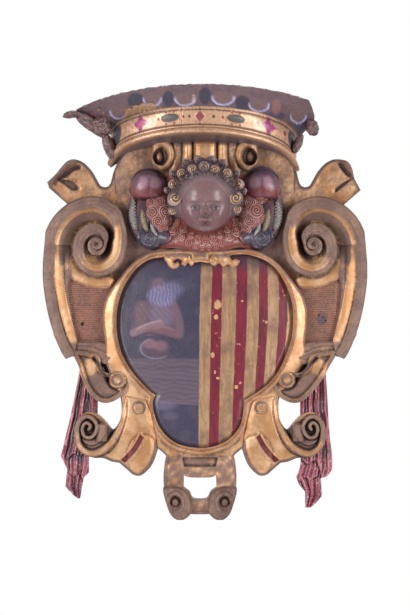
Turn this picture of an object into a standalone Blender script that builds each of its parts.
# Carved, gilded and painted coat of arms that hangs flat against a wall.
# The outlines below are in millimetres, x to the right and z up from the point on
# the wall behind the middle of the shield; heights are millimetres off the wall.
# The wall is y = 0 and the carving faces -Y.  Meshes are written in metres.
import math

import bmesh
import bpy
import numpy as np
from mathutils import Vector
from mathutils.geometry import delaunay_2d_cdt

for old in list(bpy.data.objects):
    bpy.data.objects.remove(old)

UPPER_AXIS = 4.0
LOWER_AXIS = -6.0
GAP = 0.3


# Outlines and distances.

def curve_through(points, step, closed=True):
    """Smooth line through the points; a third item marks a sharp corner."""
    spots = [np.array(p[:2], float) for p in points]
    corner = [len(p) > 2 for p in points]
    count = len(spots)
    if closed and any(corner):
        first = corner.index(True)
        spots = spots[first:] + spots[:first]
        corner = corner[first:] + corner[:first]
    order = list(range(count)) + ([0] if closed else [])
    ends = set() if closed else {0, count - 1}
    pieces = []
    for a, b in zip(order[:-1], order[1:]):
        p, q = spots[a], spots[b]
        leave = (q - spots[a - 1]) / 2
        arrive = (spots[(b + 1) % count] - p) / 2
        sharp_a = corner[a] or a in ends
        sharp_b = corner[b] or b in ends
        if sharp_a and sharp_b:
            leave, arrive = q - p, q - p
        elif sharp_a:
            leave = (q - p) * 1.5 - arrive * 0.5
        elif sharp_b:
            arrive = (q - p) * 1.5 - leave * 0.5
        length = np.linalg.norm(q - p)
        leave *= min(1.0, 1.3 * length / max(np.linalg.norm(leave), 1e-9))
        arrive *= min(1.0, 1.3 * length / max(np.linalg.norm(arrive), 1e-9))
        steps = max(1, int(round(length / step)))
        u = np.arange(steps)[:, None] / steps
        pieces.append((2 * u**3 - 3 * u**2 + 1) * p + (u**3 - 2 * u**2 + u) * leave
                      + (3 * u**2 - 2 * u**3) * q + (u**3 - u**2) * arrive)
    if not closed:
        pieces.append(spots[-1][None])
    return np.concatenate(pieces)


def distance_to(points, line, closed=True):
    a = line if closed else line[:-1]
    b = np.roll(line, -1, 0) if closed else line[1:]
    run = b - a
    square = np.maximum((run * run).sum(1), 1e-12)
    away = np.empty(len(points))
    for i in range(0, len(points), 4000):
        p = points[i:i + 4000, None]
        t = np.clip(((p - a) * run).sum(2) / square, 0, 1)
        away[i:i + 4000] = np.linalg.norm(p - (a + t[..., None] * run), axis=2).min(1)
    return away


def inside(points, loop):
    x, z = points[:, 0], points[:, 1]
    within = np.zeros(len(points), bool)
    for (x1, z1), (x2, z2) in zip(loop, np.roll(loop, -1, 0)):
        if z1 != z2:
            spans = (z1 > z) != (z2 > z)
            within ^= spans & (x < (x2 - x1) * (z - z1) / (z2 - z1) + x1)
    return within


def depth_in(points, loop):
    """Distance from the loop, positive inside it."""
    away = distance_to(points, loop)
    return np.where(inside(points, loop), away, -away)


def shrink(loop, gap):
    """The loop moved inwards by the gap, or outwards by a negative one."""
    before, after = np.roll(loop, 1, 0), np.roll(loop, -1, 0)
    into, out_of = loop - before, after - loop
    into = into / np.maximum(np.linalg.norm(into, axis=1)[:, None], 1e-9)
    out_of = out_of / np.maximum(np.linalg.norm(out_of, axis=1)[:, None], 1e-9)
    area = 0.5 * np.sum(loop[:, 0] * after[:, 1] - after[:, 0] * loop[:, 1])
    turn = 1 if area > 0 else -1
    normal_a = turn * np.stack([-into[:, 1], into[:, 0]], 1)
    normal_b = turn * np.stack([-out_of[:, 1], out_of[:, 0]], 1)
    both = normal_a + normal_b
    scale = 2 / np.maximum((both * both).sum(1), 0.9)
    return loop + both * (gap * scale)[:, None]


def mirrored(points, side, axis=None):
    """Points given as (distance from the axis, z) put on the left (-1) or right (+1)."""
    out = []
    for point in points:
        line = axis
        if line is None:
            line = UPPER_AXIS if point[1] > -115 else LOWER_AXIS
            if -185 < point[1] <= -115:
                line = UPPER_AXIS + (LOWER_AXIS - UPPER_AXIS) * (-115 - point[1]) / 70
        out.append((line + side * point[0],) + tuple(point[1:]))
    return out


def both_sides(points, axis=None):
    """A closed outline from its right half, given from top to bottom."""
    right = mirrored(points, 1, axis)
    left = mirrored(points, -1, axis)
    return right + left[::-1]


def blend(value, low, high):
    t = np.clip((value - low) / (high - low), 0, 1)
    return t * t * (3 - 2 * t)


def bump(value, centre, width):
    return np.exp(-((value - centre) / width) ** 2)


# Building one solid from carved features.

def carve(name, features, spacing, seats=(), holes=(), back=0.0, bevel=1.2):
    """One closed solid whose front is the highest of the features at every point.

    A feature is (outline, height, creases): height(points, depth) gives the height
    inside the outline and creases are (line, closed) pairs.  A seat is (outline,
    height) and lowers everything inside it; a hole goes right through.
    """
    def in_any(points):
        within = np.zeros(len(points), bool)
        for outline, _, _ in features:
            within |= inside(points, outline)
        for hole in holes:
            within &= ~inside(points, hole)
        return within

    def surface(points, skip=None, edge=1e-3):
        top = np.full(len(points), -1.0)
        rim = np.full(len(points), -1.0)
        for number, (outline, height, _) in enumerate(features):
            if number == skip:
                continue
            depth = depth_in(points, outline)
            value = height(points, np.maximum(depth, 0))
            top = np.where(depth > edge, np.maximum(top, value), top)
            rim = np.where(abs(depth) <= edge, np.maximum(rim, value), rim)
        top = np.where(top < 0, rim, top)
        for outline, cap in seats:
            top = np.where(depth_in(points, outline) > -edge, np.minimum(top, cap), top)
        return top

    lines = []
    for number, (outline, height, creases) in enumerate(features):
        ring = shrink(outline, bevel)
        own = [(outline, True, 0.0), (ring, True, bevel)]
        own += [(line, closed, None) for line, closed in creases]
        for line, closed, gap in own:
            depth = np.maximum(depth_in(line, outline), bevel)
            hidden = surface(line, skip=number) > height(line, depth) + 0.4
            if gap:
                hidden |= depth_in(line, outline) < 0.8 * gap
            for cap_line, cap in seats:
                hidden |= (depth_in(line, cap_line) > 2) & (height(line, depth) > cap)
            for hole in holes:
                hidden |= depth_in(line, hole) > 0.5
            lines.append((line, closed, hidden))
    for outline, _ in seats:
        shown = surface(outline) > 0
        lines.append((outline, True, ~shown))
        lines.append((shrink(outline, -bevel), True, ~shown))
    for hole in holes:
        lines.append((hole, True, np.zeros(len(hole), bool)))
        lines.append((shrink(hole, -bevel), True, np.zeros(len(hole), bool)))

    fixed, edges, total = [], [], 0
    for line, closed, hidden in lines:
        number = np.cumsum(~hidden) - 1 + total
        last = len(line) if closed else len(line) - 1
        for i in range(last):
            j = (i + 1) % len(line)
            if not hidden[i] and not hidden[j]:
                edges.append((int(number[i]), int(number[j])))
        fixed.append(line[~hidden])
        total += int((~hidden).sum())
    fixed = np.concatenate(fixed)

    low, high = fixed.min(0), fixed.max(0)
    xs = np.arange(low[0], high[0], spacing)
    zs = np.arange(low[1], high[1], spacing * 0.866)
    grid_x, grid_z = np.meshgrid(xs, zs)
    grid_x = grid_x + 0.5 * spacing * (np.arange(len(zs)) % 2)[:, None]
    grid = np.stack([grid_x.ravel(), grid_z.ravel()], 1)
    grid = grid[in_any(grid)]
    for line, closed, hidden in lines:
        shown = line[~hidden]
        if len(shown) > 1:
            near = np.empty(len(grid))
            for i in range(0, len(grid), 2000):
                apart = grid[i:i + 2000, None] - shown
                near[i:i + 2000] = (apart * apart).sum(2).min(1)
            grid = grid[near > (0.55 * spacing) ** 2]

    spots = np.concatenate([fixed, grid])
    flat, _, faces, _, _, _ = delaunay_2d_cdt([Vector(p) for p in spots], edges, [], 0, 1e-4)
    flat = np.array([tuple(v) for v in flat])
    faces = np.array(faces)
    faces = faces[in_any(flat[faces].mean(1))]
    used = np.unique(faces)
    number = np.full(len(flat), -1)
    number[used] = np.arange(len(used))
    flat, faces = flat[used], number[faces]
    return solid_from(name, flat, faces, surface(flat), back)


def signed_area(flat, faces):
    a, b, c = flat[faces[:, 0]], flat[faces[:, 1]], flat[faces[:, 2]]
    return ((b[:, 0] - a[:, 0]) * (c[:, 1] - a[:, 1])
            - (b[:, 1] - a[:, 1]) * (c[:, 0] - a[:, 0]))


def solid_from(name, flat, faces, top, back):
    """Close a carved front with straight walls and a flat back."""
    faces = np.where((signed_area(flat, faces) < 0)[:, None], faces[:, ::-1], faces)
    directed = np.concatenate([faces[:, [0, 1]], faces[:, [1, 2]], faces[:, [2, 0]]])
    pairs = set(map(tuple, directed))
    border = [pair for pair in pairs if (pair[1], pair[0]) not in pairs]
    rim = sorted({v for pair in border for v in pair})
    local = {v: i for i, v in enumerate(rim)}
    first = len(flat)
    behind, _, back_faces, _, _, _ = delaunay_2d_cdt(
        [Vector(flat[v]) for v in rim], [(local[a], local[b]) for a, b in border], [], 0, 1e-5)
    behind = np.array([tuple(v) for v in behind])
    back_faces = np.array(back_faces)
    middle = behind[back_faces].mean(1)
    within = np.zeros(len(middle), bool)
    for a, b in border:
        (x1, z1), (x2, z2) = flat[a], flat[b]
        if z1 != z2:
            spans = (z1 > middle[:, 1]) != (z2 > middle[:, 1])
            within ^= spans & (middle[:, 0] < (x2 - x1) * (middle[:, 1] - z1) / (z2 - z1) + x1)
    back_faces = back_faces[within]
    back_faces = np.where((signed_area(behind, back_faces) > 0)[:, None],
                          back_faces[:, ::-1], back_faces)
    points = [(x / 1000, -h / 1000, z / 1000) for (x, z), h in zip(flat, top)]
    points += [(x / 1000, -back / 1000, z / 1000) for x, z in behind]
    shell = [tuple(int(i) for i in face) for face in faces]
    shell += [(int(b), int(a), first + local[a], first + local[b]) for a, b in border]
    shell += [tuple(int(i) + first for i in face) for face in back_faces]
    return add_object(name, points, shell)


def add_object(name, points, faces):
    mesh = bpy.data.meshes.new(name)
    mesh.from_pydata(points, [], faces)
    shell = bmesh.new()
    shell.from_mesh(mesh)
    bmesh.ops.triangulate(shell, faces=[face for face in shell.faces if len(face.verts) > 3])
    shell.to_mesh(mesh)
    shell.free()
    mesh.shade_smooth()
    mesh.set_sharp_from_angle(angle=math.radians(40))
    made = bpy.data.objects.new(name, mesh)
    bpy.context.scene.collection.objects.link(made)
    return made


def block(name, outline, near, far):
    """A straight prism of the outline between two heights off the wall."""
    outline = np.asarray(outline)
    corners = [Vector(p) for p in outline]
    count = len(outline)
    ring = [(i, (i + 1) % count) for i in range(count)]
    flat, _, faces, _, _, _ = delaunay_2d_cdt(corners, ring, [], 1, 1e-5)
    flat = np.array([tuple(v) for v in flat])
    faces = np.array([face for face in faces])
    return solid_from(name, flat, faces, np.full(len(flat), float(far)), near)


def cut(target, cutter, operation="DIFFERENCE"):
    step = target.modifiers.new("fit", "BOOLEAN")
    step.operation = operation
    step.solver = "EXACT"
    step.object = cutter
    cutter.hide_render = True
    cutter.display_type = "WIRE"


def paint(thing, name, colour, metallic, roughness):
    material = bpy.data.materials.new(name)
    material.use_nodes = True
    shader = material.node_tree.nodes["Principled BSDF"]
    shader.inputs["Base Color"].default_value = (*colour, 1)
    shader.inputs["Metallic"].default_value = metallic
    shader.inputs["Roughness"].default_value = roughness
    thing.data.materials.clear()
    thing.data.materials.append(material)


# The drawn outlines.

STEP = 15.0

BOARD_SIDE = [(0, 348), (70, 342), (120, 330), (148, 318), (162, 304), (174, 284), (184, 260),
              (190, 238), (198, 231), (210, 234), (226, 261), (238, 275), (250, 283), (264, 286)]
LEFT_TIP = [(276, 282), (286, 272), (300, 255), (316, 240, 1), (312, 228, 1), (278, 198, 1)]
RIGHT_TIP = [(284, 282), (294, 268), (300, 246), (312, 224, 1), (282, 198, 1)]
BOARD_LOW = [(258, 154), (270, 80), (290, 24), (286, -46), (262, -88), (226, -104), (199, -136),
             (179, -164), (158, -192)]

SHIELD = [(-6, 80), (-24, 78), (-28, 90, 1), (-46, 92), (-76, 90), (-106, 85), (-130, 70),
          (-148, 48), (-162, 22), (-170, -6), (-173, -32), (-172, -62), (-166, -92),
          (-154, -120), (-138, -144), (-120, -164), (-106, -178), (-94, -186, 1), (-100, -200),
          (-98, -220), (-90, -244), (-78, -262), (-62, -277), (-40, -287), (-6, -292),
          (24, -288), (48, -277), (66, -260), (76, -242), (80, -220), (82, -196, 1),
          (96, -188), (114, -176), (132, -162), (148, -142), (160, -120), (170, -96),
          (177, -72), (180, -46), (180, -16), (174, 14), (162, 42), (146, 66), (126, 82),
          (104, 91), (84, 95), (62, 94), (38, 90), (16, 90, 1), (14, 78)]

RING_HALF = [(66, 104), (90, 105), (110, 99), (134, 86), (154, 68), (170, 48), (184, 30),
             (198, 6), (204, -20), (204, -46), (200, -76), (200, -100), (192, -130),
             (178, -160), (160, -188), (157, -220), (158, -250), (140, -280), (106, -296),
             (84, -294, 1), (76, -300), (68, -308, 1), (72, -332), (73, -360), (68, -392),
             (56, -414), (30, -424)]
LOOP_HOLE = [(20, -351), (32, -346, 1), (33, -374, 1), (22, -380), (15, -393), (6, -396)]
TAB_SLOT = [(36, -311, 1), (32, -330, 1)]
LOOP_VOLUTE = [(74, -374), (60, -368), (44, -369), (30, -374), (20, -384), (16, -398),
               (14, -414), (22, -428), (34, -436), (46, -436), (58, -426), (66, -408)]

STRAP_OUTER = [(324, 80), (324, 44), (320, 10), (314, -22), (306, -52), (296, -80),
               (286, -102), (278, -114, 1)]
STRAP_FOOT = [(301, -60), (296, -80), (286, -102), (278, -114, 1), (264, -109), (242, -108),
              (218, -114), (201, -124), (184, -122, 1), (188, -88, 1), (210, -80), (230, -76),
              (258, -78)]
CURL = [(262, -98), (250, -130), (238, -158), (222, -182), (204, -198), (188, -202),
        (172, -198), (157, -188), (148, -172), (149, -154), (158, -141), (172, -137),
        (183, -142), (196, -140), (206, -128), (214, -106)]
LEG = [(150, -186, 1), (157, -220), (160, -236), (168, -250), (176, -256), (188, -242),
       (202, -228), (216, -221), (230, -222), (242, -232), (250, -248), (252, -270),
       (246, -290), (232, -304), (214, -312), (194, -313), (176, -320), (162, -322, 1),
       (146, -336), (134, -346), (120, -348), (106, -338), (94, -322), (84, -294, 1),
       (92, -240), (106, -196, 1)]
LEG_SLOT = [(120, -262, 1), (110, -270, 1), (152, -324, 1), (160, -316, 1)]
TOP_SCROLL = [(66, 274), (74, 266), (86, 262), (96, 268), (106, 278), (106, 300), (104, 316),
              (94, 324), (80, 325), (66, 314), (60, 300), (60, 286)]
HOOD = [(0, 322), (20, 322), (46, 322), (72, 322), (84, 318), (82, 290), (72, 262), (40, 240)]

WINGS = [(8, 98), (-16, 100), (-36, 105), (-62, 108), (-86, 105), (-110, 105), (-130, 116),
         (-144, 136), (-151, 160), (-152, 190), (-147, 220), (-144, 242), (-132, 260),
         (-112, 268), (-92, 264), (-78, 250), (-68, 262), (-44, 286), (-18, 292), (8, 292),
         (36, 286), (60, 272), (76, 250), (88, 256), (102, 268), (120, 272), (140, 264),
         (154, 244), (158, 220), (163, 192), (161, 164), (152, 136), (136, 114), (116, 102),
         (94, 104), (76, 110), (50, 105), (28, 100)]
TAIL_LEFT = [(-234, -56, 1), (-212, -56, 1), (-212, -196), (-214, -256), (-216, -286, 1),
             (-230, -312, 1), (-230, -344, 1), (-240, -354), (-242, -362), (-248, -396, 1),
             (-256, -394), (-278, -372, 1), (-274, -336), (-287, -310, 1), (-280, -284),
             (-266, -226), (-250, -146)]
TAIL_RIGHT = [(224, -60, 1), (240, -96), (248, -156), (254, -256), (260, -306), (260, -336, 1),
              (250, -350), (238, -354, 1), (240, -392, 1), (220, -412), (206, -414, 1),
              (206, -382, 1), (194, -368), (188, -352, 1), (196, -328), (196, -276),
              (196, -196), (200, -116)]

# Roll face, hollow beside it and the rim line on each leg, from the lower axis.
ROLL_HOLLOW = [(176, -256), (190, -240), (208, -226), (216, -256), (222, -288), (204, -294),
               (188, -284), (178, -270)]

# Radius of the side volutes at each angle, in degrees from the outer side over the top.
TURNS = [(0, 108), (43, 102), (90, 97), (121, 86), (144, 70), (180, 60), (225, 62), (270, 64),
         (315, 57), (360, 48), (450, 44), (540, 25), (630, 23), (720, 18), (810, 14), (900, 9),
         (990, 6)]
VOLUTE_CENTRE = (216, 114)


# The side strap and its volute.

def turn_radius(angle):
    knots = curve_through(TURNS, 12, closed=False)
    return np.interp(angle, knots[:, 0], knots[:, 1])


def volute_line(side, start, stop, step, gap=0.0, share=0.0):
    """Line along the volute; share moves it towards the next turn."""
    angle = np.arange(start, stop + 1e-6, step)
    radius = turn_radius(angle)
    radius = radius - share * (radius - turn_radius(np.minimum(angle + 360, 990))) - gap
    centre_x = UPPER_AXIS + side * VOLUTE_CENTRE[0]
    turn = np.radians(angle)
    return np.stack([centre_x + side * radius * np.cos(turn),
                     VOLUTE_CENTRE[1] + radius * np.sin(turn)], 1)


def scroll_outline(side, step):
    strap = curve_through(mirrored(STRAP_OUTER[::-1], side, UPPER_AXIS), step, closed=False)
    volute = volute_line(side, 18, 244, 12)
    inner = mirrored([(180, 44), (190, 29), (208, 27), (232, 30), (254, 38), (268, 46, 1),
                      (273, 34), (272, 4), (266, -36), (256, -78, 1), (262, -106, 1)],
                     side, UPPER_AXIS)
    inner = curve_through(inner, step, closed=False)
    return np.concatenate([strap, volute, inner])


def strap_profile(across):
    """Flat rim, then a channel that falls towards the panel, from the outer edge inwards."""
    rim = 59 + 1.5 * bump(across, 10, 8)
    channel = 57 - 12 * blend(across, 22, 40)
    return np.where(across < 22, rim, channel)


def scroll_height(side):
    silhouette = np.concatenate([
        curve_through(mirrored(STRAP_OUTER[::-1], side, UPPER_AXIS), 8, closed=False),
        volute_line(side, 10, 100, 10)])

    def height(points, depth):
        u = side * (points[:, 0] - UPPER_AXIS) - VOLUTE_CENTRE[0]
        w = points[:, 1] - VOLUTE_CENTRE[1]
        radius = np.hypot(u, w)
        angle = np.degrees(np.arctan2(w, u)) % 360
        result = np.zeros(len(points))
        for turn in (0, 1, 2):
            whole = angle + 360 * turn
            outer = turn_radius(np.minimum(whole, 990))
            inner = np.where(whole + 360 > 990, 0, turn_radius(np.minimum(whole + 360, 990)))
            share = np.clip((outer - radius) / np.maximum(outer - inner, 1), 0, 1)
            level = 60 + 30 * (np.minimum(whole, 990) / 990) ** 0.9
            drop = 21 - 5 * turn
            face = level - drop * blend(share, 0.42, 0.92)
            result = np.where(radius < outer - 0.6, face, result)
        across = distance_to(points, silhouette, closed=False)
        strap = strap_profile(across)
        near_volute = 60 - 21 * blend(across / 60, 0.42, 0.92)
        strap = near_volute + (strap - near_volute) * blend(-w, 0, 60)
        shelf = 50 - 3 * blend(depth, 8, 0)
        below = np.where((across > 44) & (w < -30), shelf, strap)
        outside = (result == 0) | ((angle > 270) & (radius >= turn_radius(angle) - 0.6))
        return np.where(outside, below, result)

    return height


def scroll_feature(side, step):
    creases = [(volute_line(side, 250, 980, 18), False),
               (volute_line(side, 250, 980, 18, gap=1.4), False),
               (volute_line(side, 0, 620, 18, share=0.42), False),
               (volute_line(side, 0, 260, 24, share=0.9), False)]
    for gap in (22, 40):
        creases.append((curve_through(mirrored(
            [(u - gap, z) for u, z in [p[:2] for p in STRAP_OUTER[:-1]]], side, UPPER_AXIS),
            20, closed=False), False))
    return scroll_outline(side, step), scroll_height(side), creases


# The other parts of the body.

def board_feature(step):
    right = mirrored(BOARD_SIDE + RIGHT_TIP + BOARD_LOW, 1)
    left = mirrored(BOARD_SIDE[1:] + LEFT_TIP + BOARD_LOW, -1)
    outline = curve_through(right + left[::-1], step)

    def height(points, depth):
        out = abs(points[:, 0] - UPPER_AXIS)
        base = 30 + 6 * blend(depth, 0, 7)
        ribbon = blend(out, 214, 300) * blend(points[:, 1], 180, 230)
        rolled = 14 * ribbon * bump(depth, 7, 9)
        panel = blend(out, 196, 204) * blend(points[:, 1], 60, 30)
        return base + rolled + 6 * ribbon - 4 * panel * bump(out, 236, 30)

    return outline, height, []


def frame_feature(step, shield):
    outline = curve_through(both_sides(RING_HALF), step)

    def height(points, depth):
        away = np.maximum(distance_to(points, shield), 0)
        rim = 50 + 8 * blend(away, 0, 7)
        band = 58 - 7 * np.clip((away - 8) / 20, 0, 1)
        waist = blend(points[:, 1], -130, -190)
        tab = blend(points[:, 1], -285, -320)
        flat = 50 - 4 * tab
        band = band + (flat - band) * np.maximum(waist * blend(away, 10, 16), tab)
        low = np.where(away < 7.5, rim, band)
        slot = inside(points, TAB_SLOT_LINE)
        low = np.where(slot, low - 8, low)
        return low - 3 * (1 - blend(depth, 0, 3))

    creases = [(shrink(shield, -8), True), (TAB_SLOT_LINE, True),
               (shrink(TAB_SLOT_LINE, 1.2), True)]
    return outline, height, creases


def disc_feature(centre, radius, height, step):
    count = max(10, int(2 * math.pi * radius / step))
    angle = 2 * math.pi * np.arange(count) / count
    outline = np.stack([centre[0] + radius * np.cos(angle),
                        centre[1] + radius * np.sin(angle)], 1)
    return outline, height, []


def rosette_feature(side, step):
    centre = (LOWER_AXIS + side * 122, -211)

    def height(points, depth):
        away = np.hypot(points[:, 0] - centre[0], points[:, 1] - centre[1])
        return 53 + 3 * blend(away, 13, 10) - 5 * bump(away, 8.5, 2) + 2 * bump(away, 0, 5)

    return disc_feature(centre, 14, height, step * 0.7)


def foot_feature(side, step):
    outline = curve_through(mirrored(STRAP_FOOT, side, UPPER_AXIS), step)

    def height(points, depth):
        out = side * (points[:, 0] - UPPER_AXIS)
        return 50 + 7 * blend(out, 262, 290) + 4 * bump(depth, 4, 3)

    return outline, height, []


def curl_feature(side, step):
    outline = curve_through(mirrored(CURL, side), step)
    eye = mirrored([(169, -156)], side)[0]

    def height(points, depth):
        away = np.hypot(points[:, 0] - eye[0], points[:, 1] - eye[1])
        face = 50 + 8 * blend(depth, 9, 5)
        boss = 52 + 14 * blend(away, 18, 10) - 4 * bump(away, 9, 2.5)
        return np.where(away < 19, np.maximum(boss, face), face)

    angle = np.radians(np.arange(0, 360, 30))
    boss_line = np.stack([eye[0] + 18 * np.cos(angle), eye[1] + 18 * np.sin(angle)], 1)
    return outline, height, [(shrink(outline, 8), True), (boss_line, True)]


def leg_feature(side, step):
    outline = curve_through(mirrored(LEG, side, LOWER_AXIS), step)
    slot = curve_through(mirrored(LEG_SLOT, side, LOWER_AXIS), step)
    hollow = curve_through(mirrored(ROLL_HOLLOW, side, LOWER_AXIS), step)
    centre = (224, -258)

    def height(points, depth):
        u = side * (points[:, 0] - LOWER_AXIS)
        z = points[:, 1]
        ellipse = np.hypot((u - centre[0]) / 27, (z - centre[1]) / 36)
        falling = 52 - 12 * blend(z, -230, -345)
        domed = falling + 5 * blend(depth, 0, 16)
        rim = 8 * blend(depth, 13, 9) * blend(u, 150, 160) * blend(z, -318, -300)
        body = domed + rim
        body = np.where(inside(points, hollow), 42 + 12 * bump(np.hypot(u - 204, z + 258), 0, 14),
                        body)
        roll = 62 + 5 * blend(ellipse, 1.0, 0.2) - 3 * bump(ellipse, 0.62, 0.09)
        body = np.where(ellipse < 1, roll, body)
        return np.where(inside(points, slot), body - 9, body)

    angle = np.radians(np.arange(0, 360, 30))
    ring = np.stack([27 * np.cos(angle), 36 * np.sin(angle)], 1)
    ring = ring * [side, 1] + [LOWER_AXIS + side * centre[0], centre[1]]
    return outline, height, [(ring, True), (shrink(ring, 1.2), True), (hollow, True),
                             (slot, True), (shrink(slot, 1.2), True)]


def loop_volute_feature(side, step):
    outline = curve_through(mirrored(LOOP_VOLUTE, side, LOWER_AXIS), step)
    centre = (LOWER_AXIS + side * 44, -402)

    def height(points, depth):
        away = np.hypot(points[:, 0] - centre[0], points[:, 1] - centre[1])
        return 50 + 8 * blend(depth, 0, 5) - 9 * bump(away, 15, 4) + 4 * bump(away, 0, 8)

    return outline, height, []


def top_scroll_feature(side, step):
    outline = curve_through(mirrored(TOP_SCROLL, side, UPPER_AXIS), step)
    centre = (UPPER_AXIS + side * 89, 290)

    def height(points, depth):
        away = np.hypot(points[:, 0] - centre[0], (points[:, 1] - centre[1]) * 0.85)
        return 46 + 14 * blend(depth, 0, 5) - 16 * blend(away, 18, 13) + 12 * blend(away, 9, 5)

    return outline, height, []


def hood_feature(step):
    outline = curve_through(mirrored(HOOD, 1, UPPER_AXIS) + mirrored(HOOD[:0:-1], -1, UPPER_AXIS),
                            step)

    def height(points, depth):
        out = abs(points[:, 0] - UPPER_AXIS)
        tongue = 10 * blend(out, 24, 20) * (0.6 + 0.4 * blend(points[:, 1], 322, 306))
        flutes = 6 * bump(out, 38, 9) + 4 * bump(out, 60, 8)
        return 48 + tongue + flutes

    return outline, height, []


shield_line = curve_through(SHIELD, STEP)
TAB_SLOT_LINE = curve_through(both_sides(TAB_SLOT, LOWER_AXIS), STEP * 2)
loop_hole = curve_through(both_sides(LOOP_HOLE, LOWER_AXIS), STEP)
wings_line = curve_through(WINGS, STEP)

features = [board_feature(STEP), frame_feature(STEP, shield_line), hood_feature(STEP)]
for side in (-1, 1):
    features += [scroll_feature(side, STEP), foot_feature(side, STEP), curl_feature(side, STEP),
                 leg_feature(side, STEP), loop_volute_feature(side, STEP),
                 top_scroll_feature(side, STEP), rosette_feature(side, STEP)]
cartouche = carve("cartouche", features, 23,
                  seats=[(shrink(shield_line, -GAP), 20.0), (shrink(wings_line, -GAP), 36.0)],
                  holes=[loop_hole])
print("cartouche", len(cartouche.data.polygons))
paint(cartouche, "gilded_wood", (0.52, 0.33, 0.14), 0.6, 0.42)

# The domed shield panel.

def shield_height(points, depth):
    u = (points[:, 0] - 4) / 190
    w = (points[:, 1] + 95) / 215
    return 38 + 20 * np.clip(1 - u * u - 0.8 * w * w, 0, 1) - 3 * (1 - blend(depth, 0, 10))


shield_panel = carve("shield_panel", [(shield_line, shield_height, [])], 60, back=20.3, bevel=6)
paint(shield_panel, "painted_panel", (0.30, 0.20, 0.18), 0.1, 0.5)


# The broken crown.

# Each row runs round the crown: half width, sag and top z of its arc as seen from the
# front, height off the wall at the middle, depth of the sweep, left and right end angles,
# and how far its ends droop.
CROWN_ROWS = [(320, 103, 426, 166, 320, 53, 43, 0), (286, 90, 416, 158, 270, 58, 51, 8),
              (256, 77, 403, 147, 226, 64, 60, 12), (194, 52, 383, 130, 160, 74, 82, 6),
              (192, 56, 366, 128, 138, 76, 82, 6), (190, 60, 348, 125, 132, 77, 82, 8),
              (196, 66, 341, 131, 137, 77, 82, 10), (196, 68, 335, 131, 139, 77, 81, 10),
              (189, 66, 332, 122, 133, 78, 80, 12)]
UNDER_ROW = (170, 44, 318, 37, 30, 76, 74, 0)


def crown_row(row, share):
    half, sag, top, out, sweep, left, right, droop = row
    turn = -left + (left + right) * share
    angle = np.radians(turn)
    ends = np.clip((abs(turn) - 50) / 28, 0, 1) ** 2
    return np.stack([half * np.sin(angle), out - sweep * (1 - np.cos(angle)),
                     top - sag * (1 - np.cos(angle)) - droop * ends], 1)


def crown_solid(columns):
    share = np.linspace(0, 1, columns)
    rows = [crown_row(row, share) for row in CROWN_ROWS]
    under = crown_row(UNDER_ROW, share)
    rows.append(under)
    rows.append(under * [1, 0, 1] + [0, 2, 0])
    rows.append(rows[0] * [0.93, 0, 1] + [0, 2, -4])
    ring = np.stack(rows, 1)
    ring[:, :9, 1] = np.maximum(ring[:, :9, 1], 8)
    points = [(x / 1000, -h / 1000, z / 1000) for x, h, z in ring.reshape(-1, 3)]
    count = ring.shape[1]
    faces = []
    for i in range(columns - 1):
        for j in range(count):
            k = (j + 1) % count
            faces.append((i * count + j, i * count + k, (i + 1) * count + k, (i + 1) * count + j))
    faces.append(tuple(range(count))[::-1])
    faces.append(tuple(range((columns - 1) * count, columns * count)))
    return add_object("crown", points, faces)


def lump(name, centre, size, columns=8):
    """A small rounded lump, given by its middle (x, height, z) and half sizes."""
    points = [(0, 0, -1)]
    for lat in (-0.7, 0.0, 0.7):
        ring = math.sqrt(1 - lat * lat)
        for i in range(columns):
            turn = 2 * math.pi * (i + lat) / columns
            points.append((ring * math.cos(turn), ring * math.sin(turn), lat))
    points.append((0, 0, 1))
    last = len(points) - 1
    faces = [(0, 1 + (i + 1) % columns, 1 + i) for i in range(columns)]
    for j in (0, 1):
        a, b = 1 + j * columns, 1 + (j + 1) * columns
        faces += [(a + i, a + (i + 1) % columns, b + (i + 1) % columns, b + i)
                  for i in range(columns)]
    faces += [(last, last - columns + i, last - columns + (i + 1) % columns)
              for i in range(columns)]
    world = [((centre[0] + x * size[0]) / 1000, (y * size[1] - centre[1]) / 1000,
              (centre[2] + z * size[2]) / 1000) for x, y, z in points]
    return add_object(name, world, faces)


crown = crown_solid(25)
cut(crown, lump("left_stub", (-256, 48, 376), (24, 15, 11)), "UNION")
cut(crown, lump("right_stub", (219, 34, 352), (15, 17, 18)), "UNION")
paint(crown, "painted_crown", (0.25, 0.17, 0.16), 0.2, 0.5)


# The winged cherub.

HEAD_CENTRE = (5, 88, 208)
HEAD_SIZE = (55, 52, 66)


def ball(u, z, centre, size, rise):
    """A rounded swelling that stands on the ground around it."""
    away = np.hypot((u - centre[0]) / size[0], (z - centre[1]) / size[1])
    return rise * np.sqrt(np.clip(1 - away**2, 0, 1))


def wing_height(points, depth):
    u = abs(points[:, 0] - 5)
    z = points[:, 1]
    ground = 44 + 8 * blend(depth, 0, 8)
    ground = ground + 22 * bump(z, 118, 20) * blend(u, 96, 50)
    upper = ball(u, z, (114, 234), (38, 36), 26)
    lower = ball(u, z, (110, 130), (30, 26), 14)
    outer = ball(u, z, (144, 178), (11, 46), 12)
    middle = ball(u, z, (122, 172), (12, 40), 12)
    inner = ball(u, z, (92, 182), (22, 46), 18)
    return ground + np.max([upper, lower, outer, middle, inner], axis=0)


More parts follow.
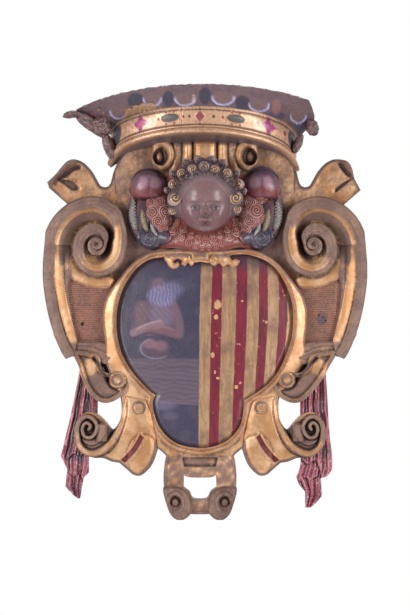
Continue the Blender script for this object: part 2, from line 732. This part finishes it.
def head_solid(columns, rows):
    """A child's head, turned a little downwards, with hair standing round the face."""
    points, faces = [], []
    for j in range(rows + 1):
        lat = math.pi * (j / rows - 0.5)
        for i in range(columns):
            turn = 2 * math.pi * i / columns
            x = math.cos(lat) * math.sin(turn)
            y = math.cos(lat) * math.cos(turn)
            z = math.sin(lat)
            points.append((x, y, z))
    points = np.array(points)
    x, y, z = points.T
    front = blend(y, -0.1, 0.5)
    widen = 1 + 0.05 * bump(z, -0.25, 0.35)
    swell = (1 + 0.15 * front * bump(x, 0, 0.12) * bump(z, -0.26, 0.12)
             + 0.05 * front * bump(abs(x), 0.42, 0.2) * bump(z, -0.34, 0.18)
             - 0.07 * front * bump(abs(x), 0.34, 0.13) * bump(z, -0.03, 0.1)
             + 0.05 * front * bump(x, 0, 0.2) * bump(z, -0.52, 0.06)
             - 0.04 * front * bump(x, 0, 0.25) * bump(z, -0.62, 0.05)
             + 0.06 * front * bump(x, 0, 0.2) * bump(z, -0.76, 0.1))
    hair = blend(np.maximum(z - 0.42, (abs(x) - 0.62) * 1.2 - 0.15 * (z < -0.3)), 0.0, 0.12)
    hair = hair * blend(z, -0.62, -0.35)
    swell = swell + 0.17 * hair + 0.03 * hair * np.cos(9 * x) * np.cos(8 * z)
    size = np.array(HEAD_SIZE)
    shaped = points * swell[:, None] * np.stack([widen, np.ones_like(x), np.ones_like(x)], 1)
    shaped = shaped * size
    lean = math.radians(-14)
    out = shaped[:, 1] * math.cos(lean) - shaped[:, 2] * math.sin(lean)
    up = shaped[:, 1] * math.sin(lean) + shaped[:, 2] * math.cos(lean)
    world = [((HEAD_CENTRE[0] + a) / 1000, -max(HEAD_CENTRE[1] + b, 42) / 1000,
              (HEAD_CENTRE[2] + c) / 1000) for a, b, c in zip(shaped[:, 0], out, up)]
    low, high = world[0], world[-1]
    world = [low] + world[columns:-columns] + [high]
    last = len(world) - 1
    for j in range(rows - 2):
        for i in range(columns):
            k = (i + 1) % columns
            a, b = 1 + j * columns, 1 + (j + 1) * columns
            faces.append((a + i, a + k, b + k, b + i))
    for i in range(columns):
        k = (i + 1) % columns
        faces.append((0, 1 + k, 1 + i))
        faces.append((last, last - columns + i, last - columns + k))
    return add_object("head", world, faces)


winged_cherub = carve("winged_cherub", [(wings_line, wing_height, [])], 13, back=36.3, bevel=3)
head = head_solid(24, 18)
cut(winged_cherub, head, "UNION")
paint(winged_cherub, "painted_carving", (0.32, 0.19, 0.17), 0.1, 0.5)


# The drapery tails.

def tail_height(side):
    def height(points, depth):
        x, z = points[:, 0], points[:, 1]
        run = x - side * 0.16 * (z + 330)
        hem = -322 + 8 * np.sign(np.cos(run / 7))
        upper = blend(z, hem - 1, hem + 1)
        fold = np.cos(run / 4.4) * (1 - 0.4 * upper)
        return 13 + 8 * upper + 3.5 * fold - 2 * (1 - blend(depth, 0, 3))

    return height


tails = []
for side, name, line in ((-1, "drapery_tail_left", TAIL_LEFT), (1, "drapery_tail_right", TAIL_RIGHT)):
    line = curve_through(line, STEP)
    tail = carve(name, [(line, tail_height(side), [])], 11, back=1.0, bevel=3)
    paint(tail, "lacquered_drapery", (0.20, 0.06, 0.09), 0.1, 0.4)
    pocket = block(name + "_pocket", shrink(line, -GAP), -5, 26.5)
    cut(cartouche, pocket)


# Fitting the crown over the board and scrolls.

board_line = features[0][0]
cut(crown, block("board_fit", shrink(board_line, -GAP), -5, 36 + GAP))
front_fit = both_sides([(40, 327), (96, 327), (106, 318), (108, 260), (60, 240)], UPPER_AXIS)
cut(crown, block("scroll_fit", np.array(front_fit), 30, 66))
